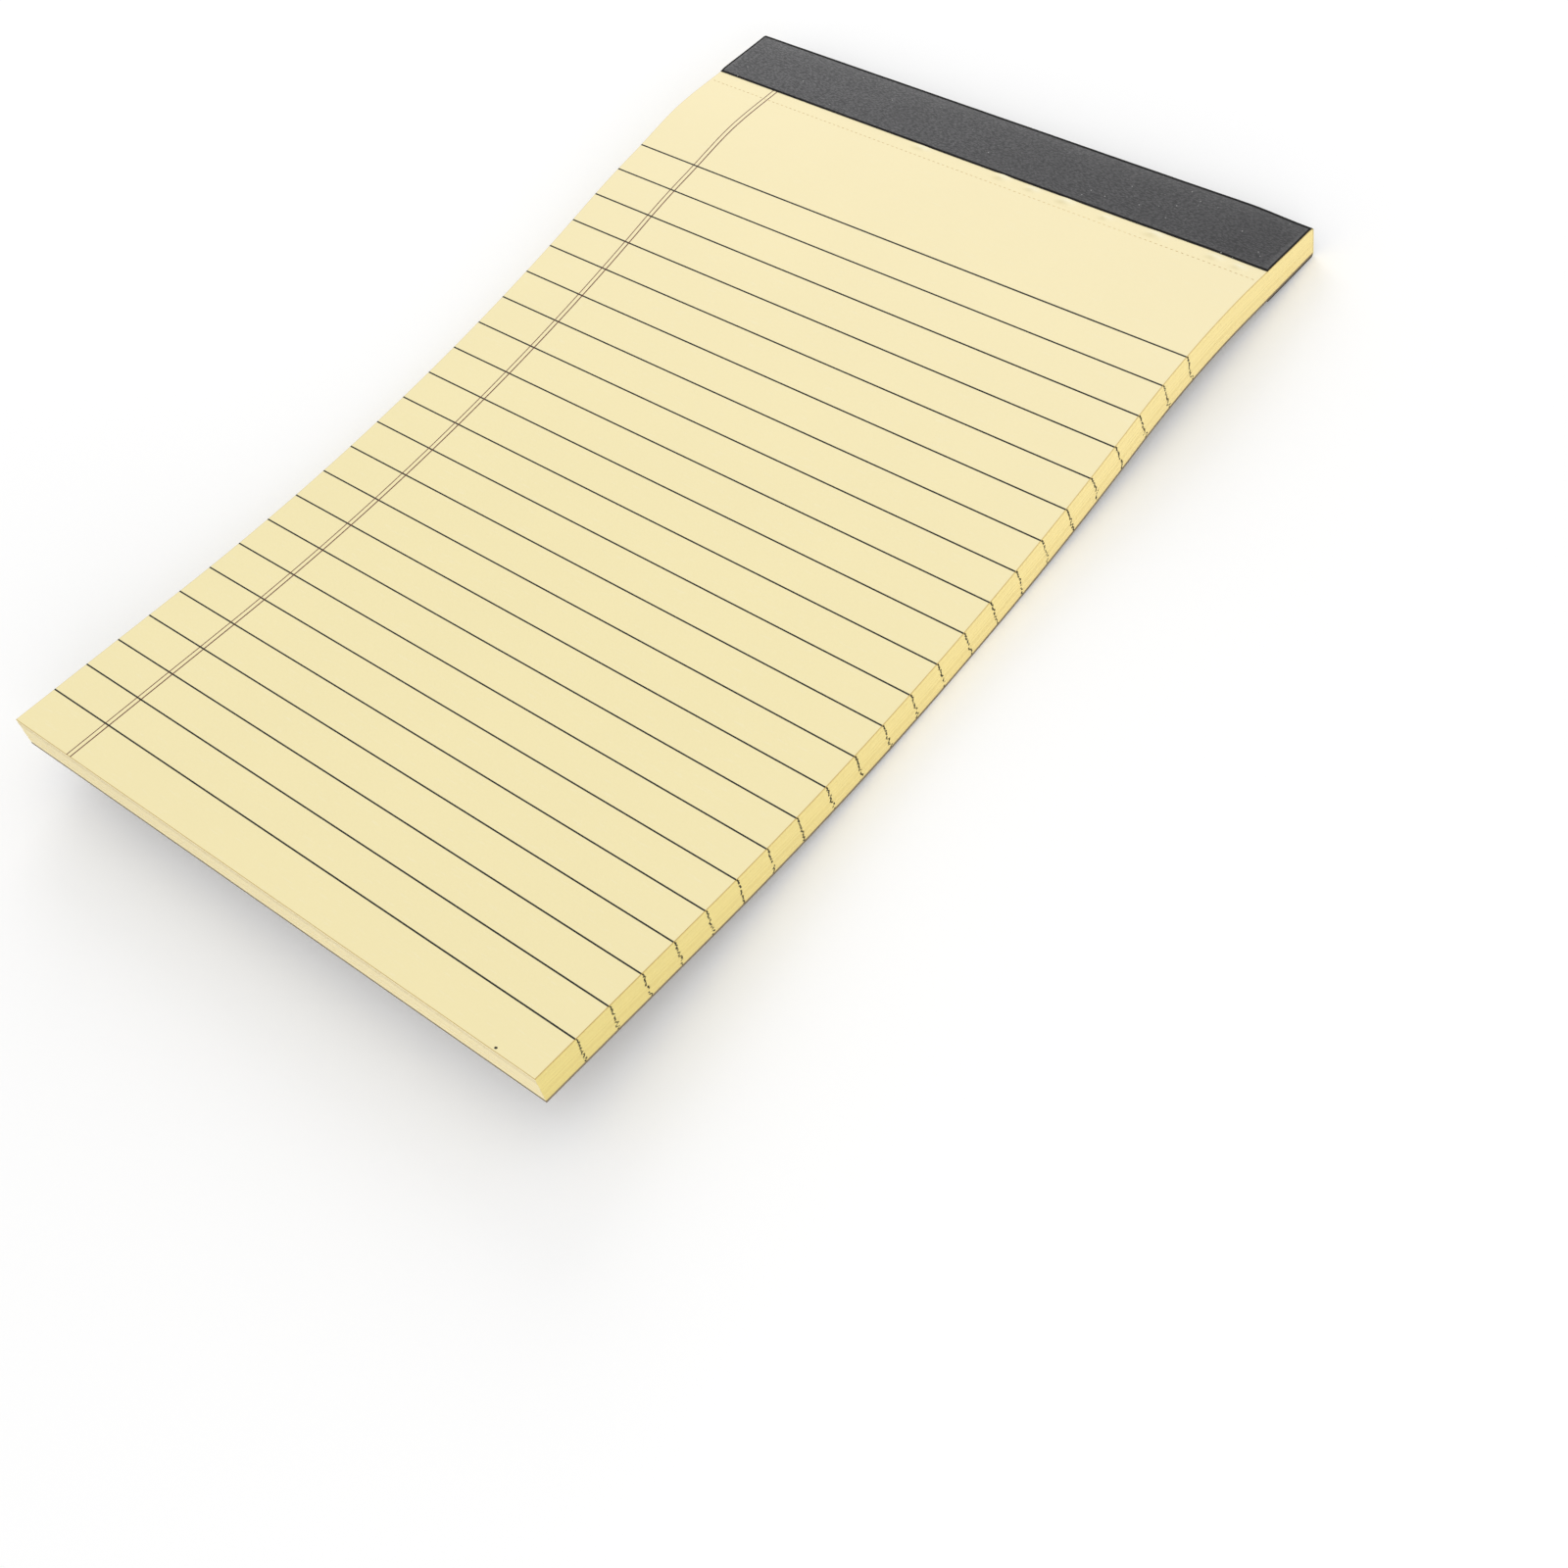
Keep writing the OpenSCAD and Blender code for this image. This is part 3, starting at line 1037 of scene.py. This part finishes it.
# %% [markdown]
# Ends of the rules on the sides
# Every sheet is ruled, so where the guillotine cut through the lines each sheet shows a tiny dark
# dot on its edge, and the dots stack up into wavering marks down both sides of the block. Each dot
# is a small bar set in the edge of its own sheet, which wanders as the sheet does. Below the
# topmost sheets the print lies a little nearer the head, and the deeper a sheet is the more each
# dot strays. Where the cut smeared them they are too faint to see, so a noise along the stack
# leaves some runs of dots out.

# %% The tree for the rule ends
SMEAR_RATE = 0.45
SMEAR_CHANGE = 3.7
STRAY_RATE = 0.16
STRAY_CHANGE = 5.3
TOPMOST = 0.12
SMEAR_DEEP = (0.05, 0.3)
SMEAR_TOP = 0.5
END_STRETCH = (0.8, 1.7)
STRETCH_SEED = 6

ends_tree, given, filled = open_tree(
    "rule_ends",
    sockets("Int", "Sheets", "Rules", "Seed") + [("Size", "Vector"), ("Ink", "Material")]
    + sockets("Float", "Pitch", "Width", "Foot Margin", "Rule Pitch", "Missing", "Print Shift",
              "Stray")
    + PATH_SOCKETS)
index = out(ends_tree, "GeometryNodeInputIndex")
sheet = calc("MODULO", index, given["Sheets"])
column = calc("FLOOR", (index + 0.5) / given["Sheets"])
rule = calc("MODULO", column, given["Rules"])
right = column > given["Rules"] - 0.5
own = use(ends_tree, wander_group, {"Sheet": sheet, "Seed": given["Seed"]})
across = (right - 0.5) * given["Width"] + own["Side"]
along = rule * given["Rule Pitch"] + given["Foot Margin"] + own["Print"]
below = given["Sheets"] + 0.5 - sheet
deep = below / given["Sheets"]
shift = ramp(deep, 0.0, TOPMOST) * given["Print Shift"]


def patchy(rate, change):
    """A noise that runs down the stack at one rate and differs from mark to mark."""
    return noise(joined(sheet * rate, column * change), 1.0, detail=1.0)


stray = (patchy(STRAY_RATE, STRAY_CHANGE) - 0.5) * (deep * given["Stray"])
along = along + (shift + stray)
upright = below * given["Pitch"] * -1.0
total = given["Sheets"] * given["Rules"] * 2.0
dots = out(ends_tree, "GeometryNodePoints",
           {"Count": total, "Position": joined(across, along, upright)})
smeared = ramp(deep, *SMEAR_DEEP, SMEAR_TOP, 1.0) * given["Missing"]
faint = patchy(SMEAR_RATE, SMEAR_CHANGE) < smeared
dots = out(ends_tree, "GeometryNodeDeleteGeometry", {"Geometry": dots, "Selection": faint},
           domain="POINT")
bar = plate_of(given["Size"])
stretch = joined(1.0, drawn(*END_STRETCH, index, STRETCH_SEED), 1.0)
dots = out(ends_tree, "GeometryNodeInstanceOnPoints",
           {"Points": dots, "Instance": bar, "Scale": stretch})
dots = out(ends_tree, "GeometryNodeRealizeInstances", {"Geometry": dots})
link(inked(bent(dots, given), given["Ink"]), filled["Geometry"])
print("rule end tree nodes:", len(ends_tree.nodes))

# %% Set the rule ends in the sides
END_DEPTH = 0.03
END_W = 0.25
MISSING = 0.43
PRINT_SHIFT = 0.34
STRAY = 2.6
rule_ends = grow("rule_ends", ends_tree, {
    "Sheets": SHEETS - 1, "Pitch": SHEET_PITCH * MM, "Width": PAD_W * MM, "Rules": RULES,
    "Foot Margin": FOOT_MARGIN * MM, "Rule Pitch": RULE_PITCH * MM,
    "Size": (END_DEPTH * MM, END_W * MM, SHEET_PITCH * MM), "Missing": MISSING,
    "Print Shift": PRINT_SHIFT * MM, "Stray": STRAY * MM, "Seed": WANDER_SEED, "Ink": end_ink,
    **CURL_VALUES})

# %% [markdown]
# The ink fleck
# A single black fleck sits at the very foot of the top sheet, near its right corner. It is a small
# flattened blob, laid on the paper point by point with the same rule as everything else.

# %% A fleck of ink at the foot
FLECK_X = 54.8
FLECK_S = 0.56
FLECK_R = 0.24
FLECK_T = 0.03
FLECK_SIDES = 14
FLECK_LOBES = [(0.12, 2, 0.9), (0.08, 5, 0.0)]
FLECK_PROUD = 0.5
fleck_mesh = bpy.data.meshes.new("ink_fleck")
rim = []
for i in range(FLECK_SIDES):
    angle = 2 * math.pi * i / FLECK_SIDES
    lobes = sum(deep * math.sin(turns * angle + start) for deep, turns, start in FLECK_LOBES)
    size = FLECK_R * (1 + lobes)
    rim.append((size * math.cos(angle), size * math.sin(angle)))
fleck_points = [pad_point(FLECK_S + y, TOTAL_T + height, FLECK_X + x)
                for height in (-FLECK_T, FLECK_T * FLECK_PROUD) for x, y in rim]
fleck_faces = [list(range(FLECK_SIDES))[::-1], [FLECK_SIDES + i for i in range(FLECK_SIDES)]]
for i in range(FLECK_SIDES):
    j = (i + 1) % FLECK_SIDES
    fleck_faces.append([i, j, FLECK_SIDES + j, FLECK_SIDES + i])
fleck_mesh.from_pydata(fleck_points, [], fleck_faces)
fleck_ink = printing_ink("fleck_ink", tone(8, 8, 8), tone(20, 20, 18))
fleck_mesh.materials.append(fleck_ink)
ink_fleck = bpy.data.objects.new("ink_fleck", fleck_mesh)
scene.collection.objects.link(ink_fleck)
print("fleck faces:", len(fleck_mesh.polygons))

# %% [markdown]
# Leatherette
# The strip is paper coated and embossed to look like leather. Its charcoal face has a fine pebbled
# grain with darker valleys, drawn out along the strip, and a few pale specks of lint, mostly to
# the right. Its tone is lighter to the left, partly a faded tone and partly painted light. A paler
# band towards the fold is painted sheen with some scuffing in it, and the edges are scuffed paler.
# A dark band along the fold is painted shade, and a dark rim runs along the front edge and the
# ends. The grain must follow the strip round the fold, so the material reads each point's flat
# place too.

# %% Tones and sizes of the leatherette
CHARCOAL = tone(78, 77, 79)
VALLEY = tone(50, 50, 52)
DARK_RIM_AND_SHADE = tone(14, 13, 14)
SHEEN_AND_WEAR_TONE = tone(140, 140, 140)
LINT = tone(208, 208, 206)
PEBBLE = 0.36
GRAIN_STRETCH = (0.5, 1.7, 1.0)
RIM_W = 0.5
LEFT_RIM_W = 0.6
RIGHT_RIM_W = 0.36
EDGE_WEAR_W = 1.6
FOLD_SHEEN_AND_WEAR, END_WEAR, FRONT_WEAR = 0.18, 0.17, 0.09
WARP_SCALE, WARP_REACH = 1.6, 0.45
PEBBLE_SIDE = (0.15, 0.75)
CROWN_SHOWS = 0.9
PATCH_SCALE, GRAIN_SCALE, WEAR_SCALE, LINT_SCALE = 0.12, 5.0, 0.9, 0.35
LIGHT_AND_FADE_TONES = (1.04, 0.87)
PATCH_TONES = (0.92, 1.08)
GRAIN_TONES = (0.83, 1.17)
LINT_SHARES = (0.08, 0.36)
LINT_STRENGTH = (0.15, 0.6)
DULLNESS = (0.62, 0.46)
GRAIN_BUMP = 0.05
END_TO_END = (-PAD_W / 2, PAD_W / 2)
FOLD_SHADE_SPAN = (FRONT_RUN - 0.22, FRONT_RUN + 0.02,
          FRONT_RUN + 0.6 * FOLD_RUN, FRONT_RUN + 0.9 * FOLD_RUN)

print("fold in mm from the front edge:", round(FRONT_RUN, 2), round(FRONT_RUN + FOLD_RUN, 2))

# %% Pebbled grain
leatherette, tree, shader = new_material("leatherette", roughness=0.5, shine=0.4)
place = attribute(tree, "flat_place", "Vector")
warp = out(tree, "ShaderNodeTexNoise", {"Vector": place, "Scale": WARP_SCALE}, output="Color")
warp = scaled(warp, WARP_REACH)
grain_place = arrow("MULTIPLY", place, GRAIN_STRETCH)
pebbles = out(tree, "ShaderNodeTexVoronoi",
              {"Vector": arrow("ADD", grain_place, warp), "Scale": 1 / PEBBLE, "Smoothness": 0.5},
              output="Distance", feature="SMOOTH_F1")
crown = ramp(pebbles, *PEBBLE_SIDE, 1.0, 0.0)
patch = noise(place, PATCH_SCALE, detail=3.0)
fine = noise(grain_place, GRAIN_SCALE, detail=3.0, roughness=0.6)
face = blended(crown * CROWN_SHOWS, VALLEY, CHARCOAL)
flat = split(place)
# The tone across the strip is lighter to the left, partly a faded tone and partly painted light.
for value, span, tones in ((flat[0], END_TO_END, LIGHT_AND_FADE_TONES), (patch, (0.2, 0.8), PATCH_TONES),
                           (fine, (0.3, 0.7), GRAIN_TONES)):
    face = scaled(face, ramp(value, *span, *tones))
print("pebbles to a centimetre:", round(10 / PEBBLE))

# %% Painted sheen, scuffs, dark rims, painted shade and lint on the grain
# The band towards the fold is painted sheen, with some scuffing in it.
sheen_at_fold = attribute(tree, "fold_wear", "Fac")
uneven_sheen = sheen_at_fold * ramp(noise(place, WEAR_SCALE, detail=4.0), 0.3, 0.7, 0.6, 1.0)
from_end = PAD_W / 2 - calc("ABSOLUTE", flat[0])
edge_wear = calc("MAXIMUM", ramp(from_end, EDGE_WEAR_W, RIGHT_RIM_W, 0.0, END_WEAR),
                 ramp(flat[1], EDGE_WEAR_W, RIM_W, 0.0, FRONT_WEAR))
sheen_and_wear = calc("MAXIMUM", uneven_sheen * FOLD_SHEEN_AND_WEAR, edge_wear)
face = blended(sheen_and_wear, face, SHEEN_AND_WEAR_TONE)
# The front edge and the ends are darkened in a thin rim.
end_rim_w = ramp(flat[0], *END_TO_END, LEFT_RIM_W, RIGHT_RIM_W)
end_rim = ramp(from_end, end_rim_w, end_rim_w * 0.5)
front_rim = ramp(flat[1], RIM_W, 0.7 * RIM_W)
# A band across the fold is painted shade, in the dark tone of the rims.
fold_shade = ramp(flat[1], FOLD_SHADE_SPAN[0], FOLD_SHADE_SPAN[1]) * ramp(flat[1], FOLD_SHADE_SPAN[3], FOLD_SHADE_SPAN[2])
# The rims and the painted fold shade are joined into one mask.
rim = calc("MAXIMUM", calc("MAXIMUM", end_rim, front_rim), fold_shade)
face = blended(rim, face, DARK_RIM_AND_SHADE)
linty = ramp(flat[0], *END_TO_END, *LINT_SHARES)
lint = use(tree, speck_group, {"Place": place, "Spacing": 3.3, "Radius": 0.14, "Share": linty})
thick_lint = ramp(noise(place, LINT_SCALE), 0.35, 0.65, *LINT_STRENGTH)
face = blended(lint["Mask"] * thick_lint, face, LINT)
painted(shader, face)
dull = calc("MAXIMUM", ramp(crown, 0.0, 1.0, *DULLNESS), rim)
link(dull, shader.inputs["Roughness"])
bumped(shader, crown + fine * 0.5, GRAIN_BUMP * MM, strength=0.8)
print("leatherette nodes:", len(tree.nodes))

# %% [markdown]
# Cut edge of the strip
# Where the strip was slit, its dark core shows as a thin black line along the front edge. The
# guillotine cut its ends with the sheets, and over the head they are dusted with paper and pale.

# %% Dark core at the cut edges
PAPER_DUST = tone(226, 208, 150)
HEEL_END = STRIP_L - BACK_RUN

strip_core, tree, shader = new_material("strip_core", roughness=0.8, shine=0.2)
fibres = use(tree, fibre_group, {
    "Place": millimetres(tree), "Colour": tone(30, 28, 28), "Strand Colour": tone(62, 56, 50),
    "Mottle": 0.3, "Strands": 0.35})
flat_y = split(attribute(tree, "flat_place", "Vector"))[1]
past_fold = ramp(flat_y, FRONT_RUN, FRONT_RUN + FOLD_RUN)
dusted = past_fold * ramp(flat_y, HEEL_END, HEEL_END - HEEL_RUN)
painted(shader, blended(dusted, fibres["Colour"], PAPER_DUST))
bumped(shader, fibres["Height"], PAPER_BUMP * MM)
print("strip core nodes:", len(tree.nodes))

# %% [markdown]
# The strip
# The strip is one band, glued to the front, folded over the head and glued to the back. It is made
# flat, with a slight ripple where the glue is uneven and its front edge pressed thin, and laid
# along the fold path by the same group that bends the sheets.

# %% The tree for the strip
STRIP_COLUMNS = 128
STRIP_ROWS = 150
RIPPLE = 0.14
RIPPLE_SCALE = 0.07
RIPPLE_LEAD = 4.0
EDGE_PRESS = 0.16
EDGE_W = 1.1
SHEEN_AT = FRONT_RUN - 0.2
SHEEN_REACH = 2.3

strip_tree, given, filled = open_tree(
    "leatherette_strip",
    sockets("Float", "Width", "Length", "Thickness", "Ripple", "Edge Press", "Sheen At",
            "Sheen Reach")
    + sockets("Material", "Face", "Core") + PATH_SOCKETS)
band = plate_of(joined(given["Width"], given["Length"], given["Thickness"]),
                STRIP_COLUMNS, STRIP_ROWS)
band = dressed(band, (given["Core"], given["Core"], given["Face"]))
shift = joined(0.0, given["Length"] / 2.0, given["Thickness"] / -2.0)
band = moved(band, "Offset", shift)
position = here(strip_tree)
band = marked(band)
# Near the fold a band is kept for painted sheen, with some scuffing in it.
from_fold = calc("ABSOLUTE", split(position)[1] - given["Sheen At"])
sheen_and_wear = calc("EXPONENT", from_fold * -1.0 / given["Sheen Reach"])
band = stored(band, "fold_wear", sheen_and_wear)
flat_place = read(strip_tree, "flat_place", "FLOAT_VECTOR")
flat = split(flat_place)
in_front = ramp(flat[1], FRONT_RUN + FOLD_RUN, FRONT_RUN) * ramp(flat[1], 0.0, RIPPLE_LEAD)
rise = noise(flat_place, RIPPLE_SCALE) * (in_front * given["Ripple"])
outer = ramp(flat[2], -STRIP_T, 0.0, smooth=False)
thinned = outer * given["Edge Press"] * ramp(flat[1], EDGE_W, 0.0)
rise = rise - thinned
band = moved(band, "Offset", joined(0.0, 0.0, rise))
link(bent(band, given), filled["Geometry"])
print("strip tree nodes:", len(strip_tree.nodes))

# %% Fold the strip over the head
leatherette_strip = grow("leatherette_strip", strip_tree, {
    "Width": PAD_W * MM, "Length": STRIP_L * MM, "Thickness": STRIP_T * MM, "Ripple": RIPPLE * MM,
    "Edge Press": EDGE_PRESS * MM, "Sheen At": SHEEN_AT * MM, "Sheen Reach": SHEEN_REACH * MM,
    "Face": leatherette, "Core": strip_core, "Path": fold_path, "Lead": 0.0, **PRESS_VALUES})

# %% [markdown]
# Grey board
# The backing is thin chipboard of pulped waste paper: grey-brown, with pale and dark fibres and
# small flecks. The solid already has the right shape, so it stays and only gets this material.


# %% Chipboard for the backing
def coated(solid, material):
    """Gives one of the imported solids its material."""
    solid.data.materials.clear()
    solid.data.materials.append(material)


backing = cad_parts["backing_board"]
FLECK_TONE = tone(72, 66, 58)
FLECK_STRENGTH = 0.6
CUT_TONE = tone(128, 112, 84)
CUT_STRENGTH = 0.7
BOARD_BUMP = 0.05

chipboard, tree, shader = new_material("grey_chipboard", roughness=0.85, shine=0.2)
place = millimetres(tree)
fibres = use(tree, fibre_group, {
    "Place": place, "Colour": tone(132, 124, 112), "Strand Colour": tone(166, 158, 144),
    "Mottle": 0.35, "Strands": 0.55})
flecks = use(tree, speck_group, {"Place": place, "Spacing": 1.6, "Radius": 0.22, "Share": 0.12})
fleck_share = flecks["Mask"] * FLECK_STRENGTH
board_tone = blended(fleck_share, fibres["Colour"], FLECK_TONE)
outward = split(out(tree, "ShaderNodeNewGeometry", output="True Normal"))
cut = ramp(calc("ABSOLUTE", outward[2]), 0.3, 0.6, CUT_STRENGTH, 0.0)
painted(shader, blended(cut, board_tone, CUT_TONE))
bumped(shader, fibres["Height"], BOARD_BUMP * MM)
coated(backing, chipboard)
print("board triangles:", len(backing.data.polygons))

# %% [markdown]
# Steel wire
# Two wire stitches hold the stubs of the sheets to the board, hidden under the strip. The wire is
# drawn steel with fine lines along its length and a little tarnish.

# %% Steel for the stitches
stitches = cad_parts["wire_stitches"]
DRAWN_LINES = (0.4, 9.0, 9.0)
BRIGHT_STEEL = tone(186, 186, 188)
TARNISHED = tone(140, 134, 124)
TARNISH_SCALE = 0.5
LINE_ROUGHNESS = (0.26, 0.46)
LINE_BUMP = 0.01

steel, tree, shader = new_material("drawn_steel", roughness=0.35)
shader.inputs["Metallic"].default_value = 1.0
place = millimetres(tree)
lines = noise(arrow("MULTIPLY", place, DRAWN_LINES), 1.0, detail=3.0)
tarnish = ramp(noise(place, TARNISH_SCALE, detail=3.0), 0.4, 0.75)
painted(shader, blended(tarnish * 0.5, BRIGHT_STEEL, TARNISHED))
link(ramp(lines, 0.3, 0.7, *LINE_ROUGHNESS), shader.inputs["Roughness"])
bumped(shader, lines, LINE_BUMP * MM)
coated(stitches, steel)
print("stitch triangles:", len(stitches.data.polygons))

# %% [markdown]
# Joining the frame
# Every piece belongs to the one body of the pad. The stack and the top sheet stand for the packed
# block of sheets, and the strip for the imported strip. The printed lines lie on the sheets and
# replace nothing.

# %% Ride on the body and replace the plain solids
BLOCK_PIECES = [sheet_stack, top_sheet, printed_rules, margin_lines, rule_ends, ink_fleck]
PIECE_SLOTS = [(piece, "page_block") for piece in BLOCK_PIECES]
PIECE_SLOTS.append((leatherette_strip, "binding_strip"))
for piece, slot in PIECE_SLOTS:
    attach(piece, "root")
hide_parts("page_block")
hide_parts("page_block")
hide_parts("binding_strip")
for helper in (curl_path, fold_path):
    bpy.data.curves.remove(helper.data)
print("pieces:", [piece.name for piece, slot in PIECE_SLOTS])

# %% [markdown]
# Floor
# The pad lies on a wide white sheet. The floor is a little short of white for the light that
# bounces off it, and gets the rest only where the camera or a shiny surface looks at it, so that
# it reads as white and still keeps the soft shadow.

# %% A white floor
FLOOR_REACH = 3.0
FLOOR_GLOW = 0.1
floor_mesh = bpy.data.meshes.new("floor")
CORNERS = ((-1, -1), (1, -1), (1, 1), (-1, 1))
floor_corners = [(x * FLOOR_REACH, y * FLOOR_REACH, 0) for x, y in CORNERS]
floor_mesh.from_pydata(floor_corners, [], [(0, 1, 2, 3)])
floor = bpy.data.objects.new("floor", floor_mesh)
scene.collection.objects.link(floor)
floor_paint, tree, shader = new_material("floor_white", roughness=0.9, shine=0.1)
shader.inputs["Base Color"].default_value = tone(247, 247, 247)
shader.inputs["Emission Color"].default_value = (1, 1, 1, 1)
ray = named(add(tree, "ShaderNodeLightPath"))
seen = calc("MAXIMUM", ray["Is Camera Ray"],
            calc("MAXIMUM", ray["Is Glossy Ray"], ray["Is Transmission Ray"]))
link(seen * FLOOR_GLOW, shader.inputs["Emission Strength"])
floor_mesh.materials.append(floor_paint)
print("floor reach in m:", FLOOR_REACH)

# %% [markdown]
# Light
# The photograph is lit almost evenly: a bright surround, a soft lamp behind the left of the head
# that makes the crest a little lighter than the foot and gives the strip its sheen, and a weaker
# one on the camera's side that reaches the right side and the foot of the block.

# %% A bright surround and two soft lamps
SURROUND = 0.78
LAMPS = [("head_lamp", (-0.5, 0.52, 0.34), 0.5, 1.6), ("side_lamp", (0.9, -0.6, 0.4), 0.8, 4.0)]
world = bpy.data.worlds.new("studio")
world.use_nodes = True
backdrop = world.node_tree.nodes["Background"]
backdrop.inputs["Color"].default_value = (1, 1, 1, 1)
backdrop.inputs["Strength"].default_value = SURROUND
scene.world = world
for name, lamp_place, lamp_size, power in LAMPS:
    lamp_data = bpy.data.lights.new(name, "AREA")
    lamp_data.shape = "DISK"
    lamp_data.size = lamp_size
    lamp_data.energy = power
    lamp = bpy.data.objects.new(name, lamp_data)
    lamp.location = lamp_place
    lamp.rotation_euler = (-Vector(lamp_place)).to_track_quat("-Z", "Y").to_euler()
    scene.collection.objects.link(lamp)
scene.view_settings.view_transform = "Standard"
print("lamps:", [lamp[0] for lamp in LAMPS])
